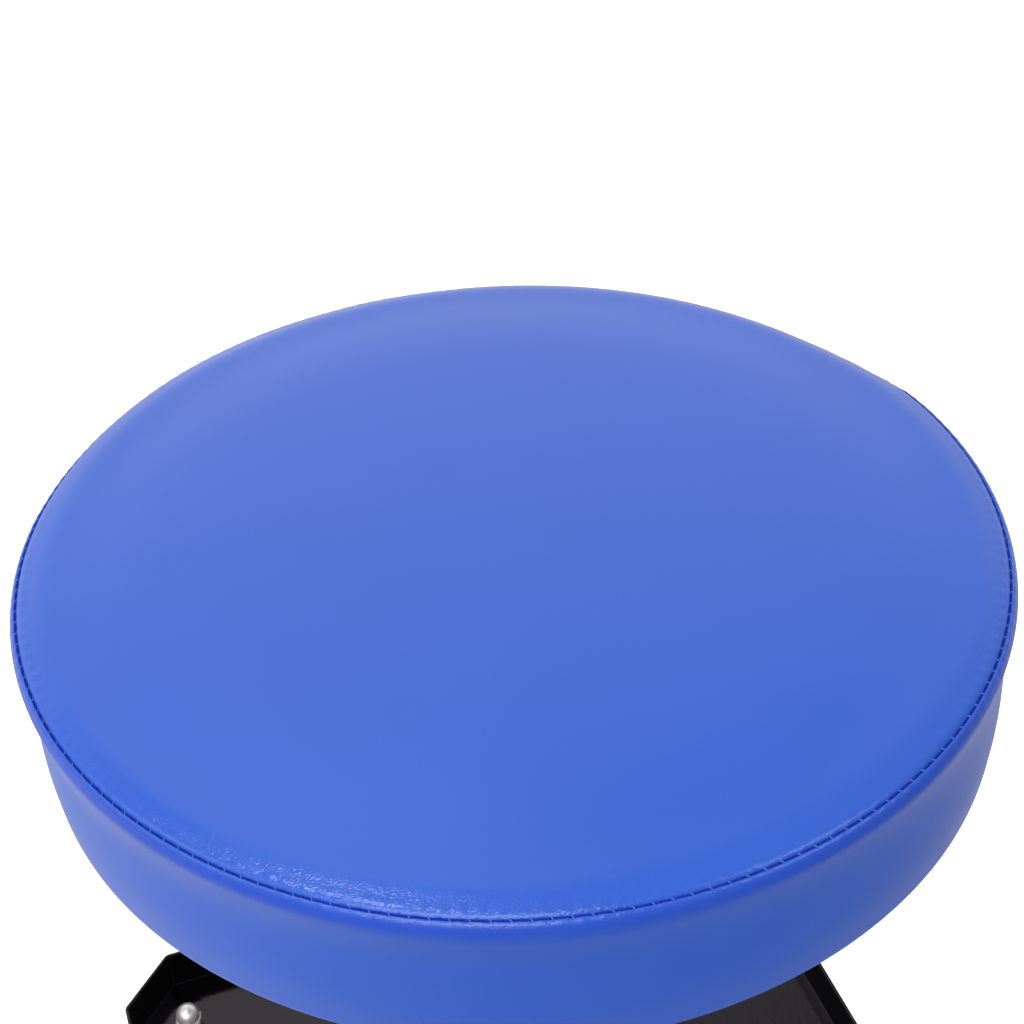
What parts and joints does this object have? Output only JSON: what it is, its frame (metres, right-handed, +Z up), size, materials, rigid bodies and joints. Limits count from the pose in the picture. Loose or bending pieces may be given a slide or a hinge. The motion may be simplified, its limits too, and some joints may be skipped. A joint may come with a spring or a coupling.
{
  "type": "workshop stool",
  "caption": "Height-adjustable rolling workshop stool: round padded seat on a gas spring over a square tool tray with cut corners, on swivel casters.",
  "frame": {"origin": "on the floor under the middle of the column", "axes": "+Z up, tray sides along X and Y, release lever towards +X"},
  "size_m": [0.3844, 0.3844, 0.4935],
  "materials": {
    "black_plastic": "black moulded plastic",
    "black_steel": "gloss black powder coat",
    "blue_vinyl": "satin blue vinyl with a fine grain, sewn",
    "bright_steel": "ground steel",
    "chrome": "bright chrome plate",
    "foam": "polyurethane foam, hidden",
    "plywood": "plain plywood board",
    "rubber": "black rubber",
    "wheel_plastic": "hard black moulded plastic",
    "white_plastic": "natural moulded plastic",
    "zinc_plate": "bright zinc plate"
  },
  "bodies": {
    "base": {"tool_tray": "black_steel", "hub_socket": "black_steel", "column_tube": "black_steel", "guide_bush": "black_plastic", "thrust_bearing": "bright_steel", "thrust_washer_lower": "bright_steel", "cross_arm_1": "black_steel", "cross_arm_2": "black_steel", "cross_arm_3": "black_steel", "cross_arm_4": "black_steel", "cap_nut_1": "zinc_plate", "cap_nut_2": "zinc_plate", "cap_nut_3": "zinc_plate", "cap_nut_4": "zinc_plate", "caster_stem_1": "zinc_plate", "caster_stem_2": "zinc_plate", "caster_stem_3": "zinc_plate", "caster_stem_4": "zinc_plate", "swivel_cup_1": "zinc_plate", "swivel_cup_2": "zinc_plate", "swivel_cup_3": "zinc_plate", "swivel_cup_4": "zinc_plate"},
    "swivel": {"piston_rod": "bright_steel", "piston": "bright_steel", "rod_clip": "zinc_plate", "bump_stop": "rubber", "thrust_washer_upper": "bright_steel"},
    "seat": {"seat_cover": "blue_vinyl", "foam_pad": "foam", "seat_board": "plywood", "seat_plate": "black_steel", "mechanism_housing": "black_steel", "taper_collar": "black_steel", "lever_pivot_pin": "zinc_plate", "lever_pin_clip": "zinc_plate", "pressure_tube": "chrome", "rod_guide": "white_plastic", "tee_nut_1": "zinc_plate", "tee_nut_2": "zinc_plate", "tee_nut_3": "zinc_plate", "tee_nut_4": "zinc_plate", "seat_bolt_1": "zinc_plate", "seat_bolt_2": "zinc_plate", "seat_bolt_3": "zinc_plate", "seat_bolt_4": "zinc_plate"},
    "lever": {"lever_rod": "zinc_plate", "lever_grip": "black_plastic"},
    "button": {"release_button": "black_plastic"},
    "caster_1": {"caster_fork_1": "zinc_plate", "caster_axle_1": "zinc_plate"},
    "wheel_1": {"caster_wheel_1": "wheel_plastic"},
    "caster_2": {"caster_fork_2": "zinc_plate", "caster_axle_2": "zinc_plate"},
    "wheel_2": {"caster_wheel_2": "wheel_plastic"},
    "caster_3": {"caster_fork_3": "zinc_plate", "caster_axle_3": "zinc_plate"},
    "wheel_3": {"caster_wheel_3": "wheel_plastic"},
    "caster_4": {"caster_fork_4": "zinc_plate", "caster_axle_4": "zinc_plate"},
    "wheel_4": {"caster_wheel_4": "wheel_plastic"}
  },
  "joints": [
    {"name": "seat_swivel", "type": "hinge", "parent": "base", "child": "swivel", "pos_m": [0, 0, 0.0664], "axis": [0, 0, 1], "continuous": true},
    {"name": "seat_lift", "type": "slide", "parent": "swivel", "child": "seat", "axis": [0, 0, 1], "range_m": [-0.1, 0]},
    {"name": "lever_tilt", "type": "hinge", "parent": "seat", "child": "lever", "pos_m": [0.03, 0, 0.4157], "axis": [0, -1, 0], "range_deg": [0, 7], "stiffness_Nm_per_rad": 8},
    {"name": "button_press", "type": "slide", "parent": "seat", "child": "button", "axis": [0, 0, -1], "range_m": [0, 0.0037]},
    {"name": "caster_swivel_1", "type": "hinge", "parent": "base", "child": "caster_1", "pos_m": [0.14559, 0.14559, 0.0572], "axis": [0, 0, 1], "continuous": true},
    {"name": "wheel_spin_1", "type": "hinge", "parent": "caster_1", "child": "wheel_1", "pos_m": [0.15312, 0.16627, 0.025], "axis": [-0.9397, 0.342, 0], "continuous": true},
    {"name": "caster_swivel_2", "type": "hinge", "parent": "base", "child": "caster_2", "pos_m": [-0.14559, 0.14559, 0.0572], "axis": [0, 0, 1], "continuous": true},
    {"name": "wheel_spin_2", "type": "hinge", "parent": "caster_2", "child": "wheel_2", "pos_m": [-0.16627, 0.15312, 0.025], "axis": [-0.342, -0.9397, 0], "continuous": true},
    {"name": "caster_swivel_3", "type": "hinge", "parent": "base", "child": "caster_3", "pos_m": [-0.14559, -0.14559, 0.0572], "axis": [0, 0, 1], "continuous": true},
    {"name": "wheel_spin_3", "type": "hinge", "parent": "caster_3", "child": "wheel_3", "pos_m": [-0.15312, -0.16627, 0.025], "axis": [0.9397, -0.342, 0], "continuous": true},
    {"name": "caster_swivel_4", "type": "hinge", "parent": "base", "child": "caster_4", "pos_m": [0.14559, -0.14559, 0.0572], "axis": [0, 0, 1], "continuous": true},
    {"name": "wheel_spin_4", "type": "hinge", "parent": "caster_4", "child": "wheel_4", "pos_m": [0.16627, -0.15312, 0.025], "axis": [0.342, 0.9397, 0], "continuous": true}
  ],
  "couplings": [
    {"joint": "button_press", "follows": "lever_tilt", "m_per_rad": 0.03}
  ]
}
